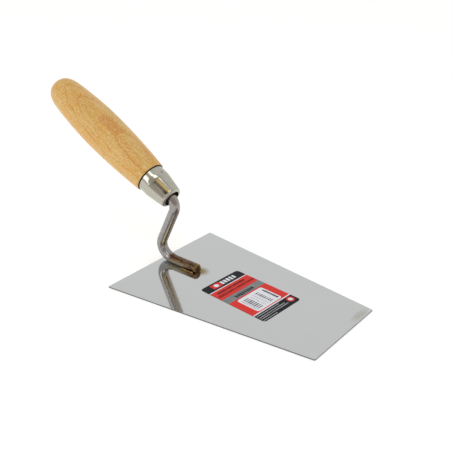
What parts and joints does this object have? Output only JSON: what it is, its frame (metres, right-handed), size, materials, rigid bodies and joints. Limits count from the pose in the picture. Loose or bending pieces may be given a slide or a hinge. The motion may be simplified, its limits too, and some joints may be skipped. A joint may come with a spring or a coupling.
{
  "type": "bricklayer's trowel",
  "caption": "Flat trapezoid trowel blade on a bent round-bar neck, with a pressed ferrule and a turned wood handle.",
  "frame": {"origin": "on the blade's flat working face (its underside), on the centre line, half way along the blade", "axes": "+X along the blade to its narrow front edge, +Y to the left of someone holding the handle, +Z out of the blade's upper face, where the neck is"},
  "size_m": [0.3018, 0.1248, 0.1388],
  "materials": {
    "blade_steel": "stainless sheet, fine brushed finish that still mirrors what is near it",
    "neck_steel": "drawn round bar, semi-bright, heat-tinted brown at the welded foot",
    "weld_metal": "rippled weld bead with brown and gold heat tint",
    "ferrule_plate": "bright plated pressed steel",
    "handle_wood": "turned pale hardwood, clear satin lacquer",
    "label_print": null
  },
  "bodies": {
    "root": {"blade": "blade_steel", "tang": "neck_steel", "weld_bead_left": "weld_metal", "weld_bead_right": "weld_metal", "ferrule": "ferrule_plate", "handle": "handle_wood", "label": "label_print"}
  },
  "joints": []
}
